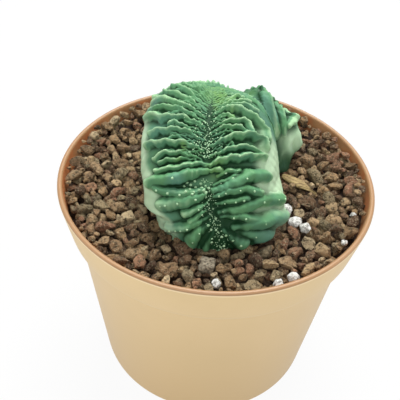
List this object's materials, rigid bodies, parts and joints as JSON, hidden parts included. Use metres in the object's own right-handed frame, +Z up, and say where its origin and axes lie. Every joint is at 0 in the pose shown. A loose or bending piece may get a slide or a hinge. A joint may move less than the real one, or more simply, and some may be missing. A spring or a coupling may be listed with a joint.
{
  "type": "crested baseball plant in a pot",
  "caption": "Crested succulent with a thick ribbed fan-shaped body, planted in gritty soil in a round tapered plastic pot, for a shelf or windowsill.",
  "frame": {"origin": "on the table, at the middle of the pot's foot", "axes": "+Z up along the pot's axis; -Y is the side that the plant's broad end faces; +X is to the right seen from there"},
  "size_m": [0.09, 0.09, 0.0969],
  "materials": {
    "pot_plastic": "smooth satin moulded plastic, pale tan, warmer at the lip",
    "plant_skin": "waxy matte skin, blue-green ribs with pale flanks and small white scars",
    "soil_grit": "dry brown lava and baked-clay grains, rough",
    "perlite": "white, porous, rough",
    "pumice": "grey-white, porous, rough",
    "bark": "dry, weathered, fibrous"
  },
  "bodies": {
    "root": {"pot": "pot_plastic", "plant": "plant_skin", "soil": "soil_grit", "perlite_1": "perlite", "perlite_2": "perlite", "perlite_3": "perlite", "perlite_4": "perlite", "perlite_5": "perlite", "perlite_6": "perlite", "perlite_7": "perlite", "perlite_8": "perlite", "pumice": "pumice", "wood_chip": "bark"}
  },
  "joints": []
}
